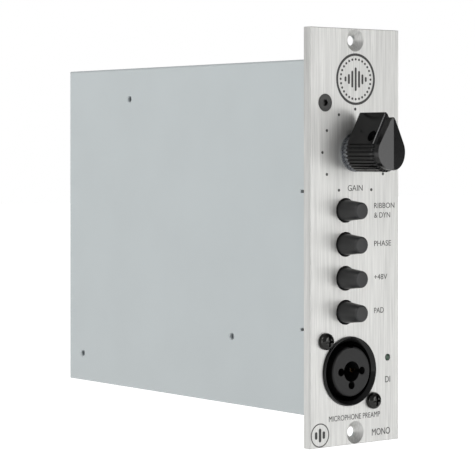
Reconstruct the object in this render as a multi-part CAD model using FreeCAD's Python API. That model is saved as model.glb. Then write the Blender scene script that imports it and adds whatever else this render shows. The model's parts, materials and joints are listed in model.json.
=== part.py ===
import FreeCAD, Part
import math
import os

# A microphone preamp module for a 3U modular rack: one slot wide, with a thick front panel, a folded sheet
# case behind it and a card-edge tab at the rear.
# Millimetres. +X is right seen from the front, +Y goes into the rack and +Z is up. The origin is the centre
# of the panel's rear face, midway between the two rack screw holes.

RIGHT = FreeCAD.Vector(1, 0, 0)
BACK = FreeCAD.Vector(0, 1, 0)
UP = FreeCAD.Vector(0, 0, 1)
LEFT = FreeCAD.Vector(-1, 0, 0)
FRONT = FreeCAD.Vector(0, -1, 0)

# ---- Gaps and beyonds shared by several parts
FIT = 0.1
PAST = 1.0

# ---- Front panel
PANEL_WIDTH = 38.1
PANEL_HEIGHT = 133.35
PANEL_THICK = 3.0
PANEL_EDGE = 0.25
PANEL_FACE = -PANEL_THICK
RACK_HOLE_PITCH = 125.73
RACK_HOLE_R = 1.7
RACK_SINK_R = 3.6
RACK_SINK_DEPTH = 1.9

# ---- Folded case
CASE_WIDTH = 36.9
CASE_HEIGHT = 112.8
CASE_DEPTH = 134.0
SHEET = 1.2
BEND_R = 0.8
SEAM = 0.2
UPPER_TAB_BOTTOM = 15.1
LOWER_TAB_TOP = -29.7
RELIEF_WIDTH = 1.0
RELIEF_DEPTH = 2.3
COVER_LIP = 7.4
CASE_LEFT = -CASE_WIDTH / 2
CASE_RIGHT = CASE_WIDTH / 2
CASE_TOP = CASE_HEIGHT / 2
INNER_LEFT = CASE_LEFT + SHEET
INNER_RIGHT = CASE_RIGHT - SHEET
INNER_TOP = CASE_TOP - SHEET
INNER_REAR = CASE_DEPTH - SHEET
TRAY_RIGHT = INNER_RIGHT - SEAM

# ---- Cover screws, M2.5 countersunk
COVER_SCREW_X = 14.0
COVER_SCREW_YS = (24.0, 110.0)
COVER_SCREW_R = 1.25
COVER_HOLE_R = 1.4
COVER_HEAD_R = 2.3
COVER_SINK_R = 2.35
COVER_HEAD_DEPTH = 1.05
COVER_SCREW_LENGTH = 4.2
COVER_NUT_R = 2.6
COVER_NUT_THICK = 2.0

# ---- Main circuit board, parallel to the side plates
PCB_FACE = -8.4
PCB_THICK = 1.6
PCB_BACK = PCB_FACE - PCB_THICK
PCB_FRONT_Y = 4.2
PCB_REAR_Y = 131.6
PCB_HALF_HEIGHT = 52.0
PCB_JACK_STEP_Y = 34.2
PCB_JACK_STEP_Z = -28.0
EDGE_TAB_END = 146.05
EDGE_TAB_WIDTH = 62.0
EDGE_TAB_Z = -9.5
EDGE_TAB_BEVEL = 1.2
EDGE_CONTACT_COUNT = 15
EDGE_CONTACT_PITCH = 3.96
EDGE_CONTACT_WIDTH = 2.4
EDGE_CONTACT_LENGTH = 9.0
EDGE_CONTACT_THICK = 0.1
REAR_SLOT_HALF = 33.0
REAR_SLOT_LEFT = -11.8
REAR_SLOT_RIGHT = -6.6

# ---- Self-clinching standoffs that carry the board: (Y, Z) of each
STANDOFF_SPOTS = ((96.0, 45.6), (125.3, -46.5), (37.6, -34.0))
STANDOFF_FLATS = 4.8
STANDOFF_R = 2.1
STANDOFF_BORE_R = 1.05
STANDOFF_MOUTH_R = 1.3
STANDOFF_MOUTH = 0.25
PCB_SCREW_R = 1.0
PCB_SCREW_HEAD_R = 2.7
PCB_SCREW_HEAD = 1.8
PCB_SCREW_TIP_DEPTH = 0.9
PCB_SCREW_REACH = PCB_FACE - CASE_LEFT - PCB_SCREW_TIP_DEPTH

# ---- Gain switch, its bushing and its knob
GAIN_X = 0.0
GAIN_Z = 27.0
BUSHING_R = 4.0
BUSHING_END = -5.9
BUSHING_EDGE = 0.3
WASHER_R = 6.35
WASHER_THICK = 0.6
NUT_R = 5.9
NUT_THICK = 1.8
NUT_EDGE = 0.3
NUT_FLUTES = 24
NUT_FLUTE_R = 0.45
SHAFT_R = 3.0
SHAFT_CLEARANCE = 0.05
SHAFT_FRONT = -17.6
SHAFT_REAR = 11.5
SHAFT_EDGE = 0.4
SWITCH_R = 8.3
SWITCH_FRONT = SHEET
SWITCH_REAR = 15.0
SWITCH_WALL = 1.8
ROTOR_R = 6.2
ROTOR_GAP = 0.3
ROTOR_NOTCH_R = 0.8
ROTOR_NOTCH_AT = 5.6
ROTOR_FRONT = 5.2
ROTOR_REAR = 8.2
GAIN_POSITIONS = 11
GAIN_STEP_DEG = 30.0
TERMINAL_CIRCLE_R = 6.6
TERMINAL_R = 0.45
GAIN_BOARD_FRONT = 17.5
GAIN_BOARD_SIZE = 19.0

KNOB_GAP = 2.6
KNOB_R = 6.3
KNOB_APEX = 12.65
KNOB_TIP_R = 0.5
KNOB_SHOULDER = 15.4
KNOB_SHOULDER_R = 1.2
KNOB_CAP_R = 5.7
KNOB_CAP_APEX = 11.0
KNOB_CAP_TIP_R = 0.8
KNOB_RIDGE = 18.15
KNOB_CAP_ROUND_R = 0.4
KNOB_FACET_DEG = 9.0
KNOB_FLUTE_R = 0.36
KNOB_FLUTE_DEPTH = 0.6
KNOB_FLUTES_ROUND = 32
KNOB_FLUTES_EACH_SIDE = 10
KNOB_INSERT_R = 4.2
KNOB_INSERT_FRONT = 14.6
KNOB_INSERT_BACK = 3.8
KNOB_RECESS_R = 4.7
GRUB_HOLE_R = 1.7
GRUB_R = 1.5
GRUB_ANGLE_DEG = 130.5
GRUB_FORWARD = 12.7
GRUB_OUTER = 5.3
GRUB_SOCKET = 1.5
GRUB_SOCKET_DEEP = 1.2

# ---- Push buttons: four in a column
BUTTONS = ("ribbon", "phase", "phantom", "pad")
BUTTON_X = -4.1
BUTTON_TOP_Z = 8.4
BUTTON_PITCH = 10.85
BUTTON_HOLE_R = 4.0
BUTTON_TRAVEL = 3.0
CAP_REAR = 1.5
CAP_ROOT_R = 3.5
CAP_LENGTH = 8.0
CAP_FRONT_R = 2.65
CAP_ROUND_R = 0.6
CAP_FRONT = PANEL_FACE - CAP_LENGTH
PLUNGER_SIDE = 3.0
PLUNGER_FRONT = -6.0
PLUNGER_REAR = 16.0
PLUNGER_CLEARANCE = 0.06
PUSH_BODY_FRONT = 8.0
PUSH_BODY_REAR = 27.0
PUSH_BODY_HEIGHT = 9.4
PUSH_BODY_TOP = 0.6
PUSH_COLLAR_R = 2.9
PUSH_COLLAR_FRONT = 6.2
PUSH_PIN_YS = (12.0, 16.0, 20.0)
PUSH_PIN_SPREAD = 2.6

# ---- Combination input socket
JACK_X = -2.6
JACK_Z = -43.1
JACK_NOSE_R = 11.05
JACK_NOSE_END = PANEL_FACE - 0.95
JACK_NOSE_ROUND_R = 0.3
JACK_FUNNEL = 1.1
JACK_CAVITY_R = 9.6
JACK_CAVITY_END = 15.0
JACK_BARREL_R = 11.8
JACK_REAR = 33.0
JACK_REAR_HALF = 8.5
JACK_BARREL_END = JACK_CAVITY_END + 2.0
JACK_FLANGE_THICK = 2.2
JACK_FLANGE_X = (-15.9, 10.7)
JACK_FLANGE_Z = (-55.0, -30.2)
JACK_FLANGE_CORNER = 2.0
JACK_SCREW_OFFSET = 10.1
INSERT_R = 8.0
INSERT_FACE = PANEL_FACE - 1.2
INSERT_EDGE = 0.7
PLUG_HOLE_R = 3.3
PLUG_HOLE_END = 31.5
PIN_LOBE_R = 1.3
PIN_LOBE_CIRCLE = 4.4
PIN_SOCKET_R = 0.95
PIN_SOCKET_CIRCLE = 4.55
PIN_SOCKET_BORE = 0.7
PIN_SOCKET_FRONT = 0.5
PIN_SOCKET_DEEP = 9.0
PIN_SOCKET_REAR = 24.0
PIN_ANGLES = (0.0, 180.0, 270.0)
KEY_WIDTH = 2.0
KEY_DEPTH = 0.5
KEY_END = 12.0
LEAF_THICK = 0.4
LEAF_WIDTH = 2.0
LEAF_GAP = 0.4
LEAF_ROOM_WIDTH = 2.4
LEAF_FRONT = 24.8
LEAF_REAR = 31.0
LEAF_ROOM = 5.5
JACK_BOARD_FRONT = 35.0
JACK_BOARD_X = (-6.2, 16.8)
JACK_BOARD_Z = (-53.0, -30.5)
JACK_PIN_SPOTS = ((-5.0, -35.4), (0.2, -35.4), (5.4, -35.4), (-5.0, -50.8), (0.2, -50.8), (5.4, -50.8))

# ---- Screws seen on the front
PAN_HEAD_R = 2.7
PAN_HEAD = 2.3
PAN_SHANK_R = 1.5
PAN_ROUNDING = 0.75
PAN_RECESS_LONG = 3.2
PAN_RECESS_WIDE = 0.75
PAN_RECESS_DEEP = 1.1
HEX_SCREW_X = -12.7
HEX_SCREW_Z = 42.7
HEX_HEAD_R = 2.8
HEX_HEAD_DEPTH = 1.6
HEX_SHANK_R = 1.5
HEX_SOCKET = 2.0
HEX_SOCKET_DEPTH = 1.1
HEX_REACH = 3.8
HEX_NUT_FLATS = 5.5
HEX_NUT_THICK = 2.4
CLEARANCE_R = 1.65

# ---- Indicator lamp
LED_X = 14.1
LED_Z = -39.7
LED_R = 1.08
LED_HOLE_R = 1.14
LED_TIP = PANEL_FACE - 0.15
LED_ROUND_R = 0.54
LED_FLANGE_R = 1.55
LED_REAR = 3.2
LED_LEAD_R = 0.25
LED_LEAD_SPREAD = 0.64

# ---- Parts on the main board
PIN_R = 0.35
PIN_HOLE_R = 0.42
PIN_PROUD = 1.1
LEAD_PROUD = 0.8
PIN_PITCH = 2.54
BOX_PIN_INSET = 1.2
FILM_PIN_INSET = 1.0
HEADER_PINS = 5
INPUT_CAN_Y = 65.0
INPUT_CAN_Z = -36.0
INPUT_CAN_R = 11.5
INPUT_CAN_TOP = 12.5
INPUT_BASE = 1.6
INPUT_BASE_LIP = 0.4
INPUT_CAN_WALL = 0.8
INPUT_CAN_EDGE = 1.2
INPUT_PINS = 5
INPUT_PIN_R = 7.0
CORE_Y = 106.0
CORE_Z = -14.0
CORE_STACK = 16.0
CORE_HEIGHT = 20.0
CORE_WIDTH = 25.0
CORE_LEG = 8.0
CORE_WINDOW = 4.2
CORE_WINDOW_HEIGHT = 12.4
CORE_FOOT = 1.0
CORE_LOW = PCB_FACE + CORE_FOOT
CORE_TOP = CORE_LOW + CORE_HEIGHT
WINDOW_LOW = CORE_LOW + (CORE_HEIGHT - CORE_WINDOW_HEIGHT) / 2
BOBBIN_WALL = 0.7
BOBBIN_REACH = 3.8
BOBBIN_LOW = WINDOW_LOW + FIT
BOBBIN_TOP = WINDOW_LOW + CORE_WINDOW_HEIGHT - FIT
WINDING_DEEP = 2.7
CLAMP_THICK = 0.8
CLAMP_HALF_WIDTH = 5.0
CLAMP_FOOT = 5.0
AMP_Y = 62.0
AMP_Z = 28.0
AMP_SIDE = 28.6
AMP_BOTTOM = PCB_FACE + 2.5
AMP_TOP = 6.5
AMP_EDGE = 0.6
AMP_PIN_R = 1.0
AMP_PIN_REACH = AMP_SIDE / 2 - 3.0
RESISTOR_R = 1.15
RESISTOR_LENGTH = 6.0
RESISTOR_LEAD_R = 0.3
RESISTOR_SPAN = 10.2
RESISTOR_LIFT = 1.5
RESISTOR_EDGE = 0.4
RESISTOR_ROWS = ((34.0, -20.0), (34.0, 2.0), (84.0, 12.0))
RESISTOR_COUNT = 6
RESISTOR_PITCH = 3.0
CAN_CAPS = ((88.0, 42.0), (88.0, -42.0), (101.0, -42.0), (114.0, -38.0), (120.0, 26.0), (120.0, 40.0))
CAN_CAP_R = 4.0
CAN_CAP_HEIGHT = 12.0
CAN_CAP_PIN = 1.8
CAN_CAP_EDGE = 0.5
FILM_CAPS = ((44.0, -8.0), (56.0, -8.0), (68.0, -8.0), (80.0, -8.0))
FILM_CAP_SIZE = (7.0, 5.0, 11.0)
FILM_CAP_EDGE = 0.4
RELAYS = ((46.0, 6.0), (62.0, 6.0), (78.0, 2.0))
RELAY_SIZE = (10.5, 7.5, 8.5)
RELAY_EDGE = 0.3
REGULATORS = ((104.0, 22.0), (104.0, 36.0))
REGULATOR_HALF_WIDTH = 5.0
REGULATOR_HALF_THICK = 1.6
REGULATOR_TAB_THICK = 1.3
REGULATOR_HEIGHT = 9.0
REGULATOR_TOP = 15.5
REGULATOR_HOLE_AT = 12.6
REGULATOR_HOLE_R = 1.8
TRIMMER_Y = 36.0
TRIMMER_Z = 46.0
TRIMMER_SIZE = (9.6, 4.8, 9.5)
TRIMMER_SCREW_Y = TRIMMER_Y + 3.0
TRIMMER_SCREW_R = 1.1
TRIMMER_SCREW_HEIGHT = 0.8
TRIMMER_SLOT = 0.5
PCB_HEADER_Y = 48.0
PCB_HEADER_DEPTH = 5.0
PCB_HEADER_HALF = 3.0
JACK_HEADER_Y = (JACK_BOARD_FRONT + PCB_THICK, JACK_BOARD_FRONT + PCB_THICK + 3.6)
HEADER_HALF_LENGTH = 7.0
RIBBON_X = 1.0
RIBBON_HALF = 6.0
RIBBON_THICK = 0.9
RIBBON_BEND = 3.0


# ================================================================ shape helpers

def vec(x, y, z):
    return FreeCAD.Vector(x, y, z)


def box(xs, ys, zs):
    """A block between two corners, each range given low to high."""
    return Part.makeBox(xs[1] - xs[0], ys[1] - ys[0], zs[1] - zs[0], vec(xs[0], ys[0], zs[0]))


def centred(middle, half):
    return (middle - half, middle + half)


def rod(base, axis, radius, length):
    return Part.makeCylinder(radius, length, base, axis)


def cone(base, axis, base_r, end_r, length):
    return Part.makeCone(base_r, end_r, length, base, axis)


def tube(base, axis, outer_r, inner_r, length):
    return rod(base, axis, outer_r, length).cut(rod(base, axis, inner_r, length))


def across(axis):
    """Two unit vectors square to an axis."""
    first = RIGHT if abs(axis.z) > 0.5 or abs(axis.y) > 0.5 else BACK
    return first, axis.cross(first)


def hex_rod(base, axis, flats, length):
    """A hexagonal bar, measured across its flats."""
    first, second = across(axis)
    corner_r = flats / math.sqrt(3.0)
    corners = []
    for k in range(7):
        angle = math.radians(60.0 * k)
        corners.append(base + first * (corner_r * math.cos(angle)) + second * (corner_r * math.sin(angle)))
    return Part.Face(Part.makePolygon(corners)).extrude(axis * length)


def fuse(shapes):
    whole = shapes[0]
    for shape in shapes[1:]:
        whole = whole.fuse(shape)
    return whole.removeSplitter()


def cut(shape, tools):
    return shape.cut(Part.makeCompound(tools))


def group(shapes):
    """Identical pieces that share one node, kept as separate solids."""
    return Part.makeCompound(shapes)


def edges_where(shape, test):
    """The edges of a shape whose every vertex passes a test."""
    return [edge for edge in shape.Edges if all(test(v.Point) for v in edge.Vertexes)]


def near(a, b):
    return abs(a - b) < 1e-4


def solid(shape):
    """The one solid of a shape that a cut may have wrapped in a compound."""
    return shape.Solids[0] if len(shape.Solids) == 1 else shape


# ================================================================ front panel

def button_z(index):
    return BUTTON_TOP_Z - BUTTON_PITCH * index


def jack_screw_spots():
    spots = []
    for side in (-1, 1):
        spots.append((JACK_X + side * JACK_SCREW_OFFSET, JACK_Z - side * JACK_SCREW_OFFSET))
    return spots


def front_panel():
    depth = PANEL_THICK
    plate = box(centred(0, PANEL_WIDTH / 2), (PANEL_FACE, 0), centred(0, PANEL_HEIGHT / 2))
    plate = plate.makeChamfer(PANEL_EDGE, edges_where(plate, lambda p: near(p.y, PANEL_FACE)))
    holes = [
        rod(vec(GAIN_X, PANEL_FACE, GAIN_Z), BACK, BUSHING_R + FIT, depth),
        rod(vec(JACK_X, PANEL_FACE, JACK_Z), BACK, JACK_NOSE_R + FIT, depth),
        rod(vec(LED_X, PANEL_FACE, LED_Z), BACK, LED_HOLE_R, depth),
        rod(vec(HEX_SCREW_X, PANEL_FACE, HEX_SCREW_Z), BACK, CLEARANCE_R, depth),
        cone(vec(HEX_SCREW_X, PANEL_FACE, HEX_SCREW_Z), BACK, HEX_HEAD_R + FIT, HEX_SHANK_R, HEX_HEAD_DEPTH),
    ]
    for side in (-1, 1):
        centre = vec(0, PANEL_FACE, side * RACK_HOLE_PITCH / 2)
        holes.append(rod(centre, BACK, RACK_HOLE_R, depth))
        holes.append(cone(centre, BACK, RACK_SINK_R, RACK_HOLE_R, RACK_SINK_DEPTH))
    for index in range(len(BUTTONS)):
        holes.append(rod(vec(BUTTON_X, PANEL_FACE, button_z(index)), BACK, BUTTON_HOLE_R, depth))
    for x, z in jack_screw_spots():
        holes.append(rod(vec(x, PANEL_FACE, z), BACK, CLEARANCE_R, depth))
    return cut(plate, holes)


def panel_screw():
    """The countersunk hex-socket screw that clamps the panel to the case."""
    centre = vec(HEX_SCREW_X, PANEL_FACE, HEX_SCREW_Z)
    head = cone(centre, BACK, HEX_HEAD_R, HEX_SHANK_R, HEX_HEAD_DEPTH)
    shank = rod(centre, BACK, HEX_SHANK_R, HEX_REACH - PANEL_FACE)
    socket = hex_rod(centre, BACK, HEX_SOCKET, HEX_SOCKET_DEPTH)
    return fuse([head, shank]).cut(socket)


def panel_nut():
    base = vec(HEX_SCREW_X, SHEET, HEX_SCREW_Z)
    return hex_rod(base, BACK, HEX_NUT_FLATS, HEX_NUT_THICK).cut(rod(base, BACK, HEX_SHANK_R, HEX_NUT_THICK))


# ================================================================ case

def chassis_tray():
    """Left side, top, bottom and rear in one folded sheet, with two tabs behind the panel."""
    outer = box((CASE_LEFT, CASE_RIGHT), (0, CASE_DEPTH), centred(0, CASE_TOP))
    folds = edges_where(outer, lambda p: near(p.x, CASE_LEFT) and not near(p.y, 0))
    folds += edges_where(outer, lambda p: near(p.x, CASE_LEFT) and near(abs(p.z), CASE_TOP))
    outer = outer.makeFillet(BEND_R, folds)
    beyond = CASE_RIGHT + PAST
    hollow = box((INNER_LEFT, beyond), (SHEET, INNER_REAR), centred(0, INNER_TOP))
    ends = box((TRAY_RIGHT, beyond), (-PAST, CASE_DEPTH + PAST), centred(0, INNER_TOP))
    front_window = box((INNER_LEFT, beyond), (-PAST, SHEET), (LOWER_TAB_TOP, UPPER_TAB_BOTTOM))
    tools = [hollow, ends, front_window]
    for low_z in (LOWER_TAB_TOP, UPPER_TAB_BOTTOM - RELIEF_WIDTH):
        relief = (low_z, low_z + RELIEF_WIDTH)
        tools.append(box((CASE_LEFT - PAST, INNER_LEFT), (-PAST, RELIEF_DEPTH), relief))
    for side in (-1, 1):
        seam = sorted((side * INNER_TOP, side * (INNER_TOP - SEAM)))
        tools.append(box((INNER_LEFT, beyond), (-PAST, SHEET), seam))
        tools.append(box((INNER_LEFT, beyond), (INNER_REAR, CASE_DEPTH + PAST), seam))
        for y in COVER_SCREW_YS:
            surface = vec(COVER_SCREW_X, y, side * CASE_TOP)
            inward = UP * -side
            tools.append(rod(surface, inward, COVER_HOLE_R, SHEET))
            tools.append(cone(surface, inward, COVER_SINK_R, COVER_SCREW_R, COVER_HEAD_DEPTH))
    tools.append(box((REAR_SLOT_LEFT, REAR_SLOT_RIGHT), (INNER_REAR - PAST, CASE_DEPTH + PAST),
                     centred(EDGE_TAB_Z, REAR_SLOT_HALF)))
    tools.append(rod(vec(GAIN_X, 0, GAIN_Z), BACK, BUSHING_R + FIT, SHEET))
    tools.append(rod(vec(JACK_X, 0, JACK_Z), BACK, JACK_NOSE_R + FIT, SHEET))
    tools.append(rod(vec(LED_X, 0, LED_Z), BACK, LED_HOLE_R, SHEET))
    tools.append(rod(vec(HEX_SCREW_X, 0, HEX_SCREW_Z), BACK, CLEARANCE_R, SHEET))
    for x, z in jack_screw_spots():
        tools.append(rod(vec(x, 0, z), BACK, CLEARANCE_R, SHEET))
    for y, z in STANDOFF_SPOTS:
        tools.append(hex_rod(vec(CASE_LEFT, y, z), RIGHT, STANDOFF_FLATS, SHEET))
    return solid(cut(outer, tools))


def side_cover():
    """Right side, a channel whose two lips slide inside the tray."""
    edge = INNER_TOP - SEAM / 2
    channel = box((CASE_RIGHT - COVER_LIP, CASE_RIGHT), (0, CASE_DEPTH), centred(0, edge))
    channel = channel.makeFillet(BEND_R, edges_where(channel, lambda p: near(p.x, CASE_RIGHT)
                                                     and near(abs(p.z), edge)))
    inner = (CASE_RIGHT - COVER_LIP - PAST, INNER_RIGHT)
    tools = [box(inner, (-PAST, CASE_DEPTH + PAST), centred(0, edge - SHEET))]
    for y_range in ((-PAST, SHEET + SEAM), (INNER_REAR - SEAM, CASE_DEPTH + PAST)):
        tools.append(box(inner, y_range, centred(0, edge + PAST)))
    for side in (-1, 1):
        for y in COVER_SCREW_YS:
            outside = vec(COVER_SCREW_X, y, side * (edge + PAST))
            tools.append(rod(outside, UP * -side, COVER_HOLE_R, SHEET + 2 * PAST))
    return solid(cut(channel, tools))


def cover_screws():
    screws = []
    for side in (-1, 1):
        for y in COVER_SCREW_YS:
            surface = vec(COVER_SCREW_X, y, side * CASE_TOP)
            inward = UP * -side
            head = cone(surface, inward, COVER_HEAD_R, COVER_SCREW_R, COVER_HEAD_DEPTH)
            shank = rod(surface, inward, COVER_SCREW_R, COVER_SCREW_LENGTH)
            socket = hex_rod(surface, inward, GRUB_SOCKET, COVER_HEAD_DEPTH)
            screws.append(fuse([head, shank]).cut(socket))
    return group(screws)


def cover_nuts():
    """Clinch nuts pressed to the inner side of the cover's lips."""
    nuts = []
    for side in (-1, 1):
        for y in COVER_SCREW_YS:
            base = vec(COVER_SCREW_X, y, side * (INNER_TOP - SEAM / 2 - SHEET))
            nuts.append(tube(base, UP * -side, COVER_NUT_R, COVER_SCREW_R, COVER_NUT_THICK))
    return group(nuts)


# ================================================================ main board

def box_pins(y, z, length_y, length_z):
    """Four pins near the corners of a part that stands on the board."""
    reach_y = length_y / 2 - BOX_PIN_INSET
    reach_z = length_z / 2 - BOX_PIN_INSET
    return [(y + side_y * reach_y, z + side_z * reach_z) for side_y in (-1, 1) for side_z in (-1, 1)]


def pin_spots():
    """Every through-hole pin of the main board, as (Y, Z)."""
    spots = []
    for index in range(len(BUTTONS)):
        for y in PUSH_PIN_YS:
            for side in (-1, 1):
                spots.append((y, button_z(index) + side * PUSH_PIN_SPREAD))
    for y, z in CAN_CAPS:
        spots += [(y - CAN_CAP_PIN, z), (y + CAN_CAP_PIN, z)]
    for y, z in FILM_CAPS:
        reach = FILM_CAP_SIZE[0] / 2 - FILM_PIN_INSET
        spots += [(y, z - reach), (y, z + reach)]
    for y, z in RELAYS:
        spots += box_pins(y, z, RELAY_SIZE[0], RELAY_SIZE[1])
    for k in range(INPUT_PINS):
        angle = 2 * math.pi * k / INPUT_PINS
        spots.append((INPUT_CAN_Y + INPUT_PIN_R * math.cos(angle),
                      INPUT_CAN_Z + INPUT_PIN_R * math.sin(angle)))
    for k in range(-1, 2):
        spots.append((TRIMMER_Y + PIN_PITCH * k, TRIMMER_Z))
        for y, z in REGULATORS:
            spots.append((y + PIN_PITCH * k, z))
    for k in range(HEADER_PINS):
        spots.append((PCB_HEADER_Y, JACK_Z + PIN_PITCH * (k - (HEADER_PINS - 1) / 2)))
    return spots


def resistor_spots():
    spots = []
    for y, z in RESISTOR_ROWS:
        for k in range(RESISTOR_COUNT):
            spots.append((y, z + RESISTOR_PITCH * k))
    return spots


def main_pcb():
    tab_low = EDGE_TAB_Z - EDGE_TAB_WIDTH / 2
    tab_high = EDGE_TAB_Z + EDGE_TAB_WIDTH / 2
    outline = [
        (PCB_FRONT_Y, PCB_HALF_HEIGHT),
        (PCB_FRONT_Y, PCB_JACK_STEP_Z),
        (PCB_JACK_STEP_Y, PCB_JACK_STEP_Z),
        (PCB_JACK_STEP_Y, -PCB_HALF_HEIGHT),
        (PCB_REAR_Y, -PCB_HALF_HEIGHT),
        (PCB_REAR_Y, tab_low),
        (EDGE_TAB_END - EDGE_TAB_BEVEL, tab_low),
        (EDGE_TAB_END, tab_low + EDGE_TAB_BEVEL),
        (EDGE_TAB_END, tab_high - EDGE_TAB_BEVEL),
        (EDGE_TAB_END - EDGE_TAB_BEVEL, tab_high),
        (PCB_REAR_Y, tab_high),
        (PCB_REAR_Y, PCB_HALF_HEIGHT),
    ]
    corners = [vec(PCB_BACK, y, z) for y, z in outline]
    board = Part.Face(Part.makePolygon(corners + corners[:1])).extrude(RIGHT * PCB_THICK)
    tools = []
    for y, z in STANDOFF_SPOTS:
        tools.append(rod(vec(PCB_BACK, y, z), RIGHT, CLEARANCE_R, PCB_THICK))
    for y, z in pin_spots():
        tools.append(rod(vec(PCB_BACK, y, z), RIGHT, PIN_HOLE_R, PCB_THICK))
    for y, z in resistor_spots():
        for side in (-1, 1):
            tools.append(rod(vec(PCB_BACK, y + side * RESISTOR_SPAN / 2, z), RIGHT, PIN_HOLE_R, PCB_THICK))
    return solid(cut(board, tools))


def edge_contacts():
    """Gold fingers on both faces of the card-edge tab."""
    fingers = []
    first_z = EDGE_TAB_Z - EDGE_CONTACT_PITCH * (EDGE_CONTACT_COUNT - 1) / 2
    end = EDGE_TAB_END - EDGE_TAB_BEVEL
    for k in range(EDGE_CONTACT_COUNT):
        zs = centred(first_z + EDGE_CONTACT_PITCH * k, EDGE_CONTACT_WIDTH / 2)
        for low_x in (PCB_BACK - EDGE_CONTACT_THICK, PCB_FACE):
            fingers.append(box((low_x, low_x + EDGE_CONTACT_THICK), (end - EDGE_CONTACT_LENGTH, end), zs))
    return group(fingers)


def pcb_standoffs():
    """Hexagonal heads sit flush in the left side, barrels reach to the board."""
    standoffs = []
    for y, z in STANDOFF_SPOTS:
        face = vec(CASE_LEFT, y, z)
        head = hex_rod(face, RIGHT, STANDOFF_FLATS, SHEET)
        barrel = rod(face, RIGHT, STANDOFF_R, PCB_BACK - CASE_LEFT)
        bore = rod(face, RIGHT, STANDOFF_BORE_R, PCB_BACK - CASE_LEFT)
        mouth = cone(face, RIGHT, STANDOFF_MOUTH_R, STANDOFF_BORE_R, STANDOFF_MOUTH)
        standoffs.append(cut(fuse([head, barrel]), [bore, mouth]))
    return group(standoffs)


def pan_screw(seat, inward, head_r, head_height, shank_r, reach):
    """A domed pan-head screw with a cross recess, seated on a face and reaching inward."""
    top = seat - inward * head_height
    head = rod(top, inward, head_r, head_height)
    rim = [edge for edge in head.Edges if all(near((v.Point - top).dot(inward), 0) for v in edge.Vertexes)]
    head = head.makeFillet(head_height * PAN_ROUNDING, rim)
    first, second = across(inward)
    recess = []
    for along, aside in ((first, second), (second, first)):
        half = along * (PAN_RECESS_LONG / 2)
        edge = aside * (PAN_RECESS_WIDE / 2)
        corners = [top - half - edge, top + half - edge, top + half + edge, top - half + edge]
        recess.append(Part.Face(Part.makePolygon(corners + corners[:1])).extrude(inward * PAN_RECESS_DEEP))
    return cut(fuse([head, rod(seat, inward, shank_r, reach)]), recess)


def pcb_screws():
    screws = []
    for y, z in STANDOFF_SPOTS:
        seat = vec(PCB_FACE, y, z)
        screws.append(pan_screw(seat, LEFT, PCB_SCREW_HEAD_R, PCB_SCREW_HEAD, PCB_SCREW_R, PCB_SCREW_REACH))
    return group(screws)


def component_pins():
    pins = []
    for y, z in pin_spots():
        pins.append(rod(vec(PCB_BACK - PIN_PROUD, y, z), RIGHT, PIN_R, PCB_THICK + PIN_PROUD))
    return group(pins)


# ================================================================ gain control

def gain_point(forward):
    """A point on the gain axis, a distance in front of the panel's face."""
    return vec(GAIN_X, PANEL_FACE - forward, GAIN_Z)


def gain_bushing():
    flange = rod(vec(GAIN_X, SWITCH_FRONT, GAIN_Z), BACK, SWITCH_R, SWITCH_WALL)
    barrel = rod(vec(GAIN_X, BUSHING_END, GAIN_Z), BACK, BUSHING_R, SWITCH_FRONT - BUSHING_END)
    rim = edges_where(barrel, lambda p: near(p.y, BUSHING_END))
    barrel = barrel.makeChamfer(BUSHING_EDGE, rim)
    length = SWITCH_FRONT + SWITCH_WALL - BUSHING_END
    bore = rod(vec(GAIN_X, BUSHING_END, GAIN_Z), BACK, SHAFT_R + SHAFT_CLEARANCE, length)
    return fuse([flange, barrel]).cut(bore)


def gain_washer():
    base = vec(GAIN_X, PANEL_FACE - WASHER_THICK, GAIN_Z)
    return tube(base, BACK, WASHER_R, BUSHING_R + FIT, WASHER_THICK)


def gain_nut():
    """A round dress nut with a notched rim."""
    base = vec(GAIN_X, PANEL_FACE - WASHER_THICK - NUT_THICK, GAIN_Z)
    body = rod(base, BACK, NUT_R, NUT_THICK)
    body = body.makeChamfer(NUT_EDGE, edges_where(body, lambda p: near(p.y, base.y)))
    tools = [rod(base, BACK, BUSHING_R, NUT_THICK)]
    for k in range(NUT_FLUTES):
        angle = 2 * math.pi * k / NUT_FLUTES
        out = NUT_R + NUT_FLUTE_R / 2
        offset = vec(out * math.cos(angle), 0, out * math.sin(angle))
        tools.append(rod(base + offset, BACK, NUT_FLUTE_R, NUT_THICK))
    return solid(cut(body, tools))


def gain_switch_housing():
    front = SWITCH_FRONT + SWITCH_WALL
    shell = rod(vec(GAIN_X, front, GAIN_Z), BACK, SWITCH_R, SWITCH_REAR - front)
    room = rod(vec(GAIN_X, front, GAIN_Z), BACK, ROTOR_R + ROTOR_GAP, SWITCH_REAR - SWITCH_WALL - front)
    return shell.cut(room)


def gain_shaft():
    shaft = rod(vec(GAIN_X, SHAFT_FRONT, GAIN_Z), BACK, SHAFT_R, SHAFT_REAR - SHAFT_FRONT)
    return shaft.makeChamfer(SHAFT_EDGE, edges_where(shaft, lambda p: near(p.y, SHAFT_FRONT)))


def gain_rotor():
    """The wiper disc on the shaft, inside the switch."""
    base = vec(GAIN_X, ROTOR_FRONT, GAIN_Z)
    disc = tube(base, BACK, ROTOR_R, SHAFT_R, ROTOR_REAR - ROTOR_FRONT)
    return disc.cut(rod(base + UP * ROTOR_NOTCH_AT, BACK, ROTOR_NOTCH_R, ROTOR_REAR - ROTOR_FRONT))


def terminal_bases(y):
    bases = []
    for k in range(GAIN_POSITIONS + 1):
        angle = math.radians(GAIN_STEP_DEG * k)
        bases.append(vec(GAIN_X + TERMINAL_CIRCLE_R * math.sin(angle), y,
                         GAIN_Z + TERMINAL_CIRCLE_R * math.cos(angle)))
    return bases


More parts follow.
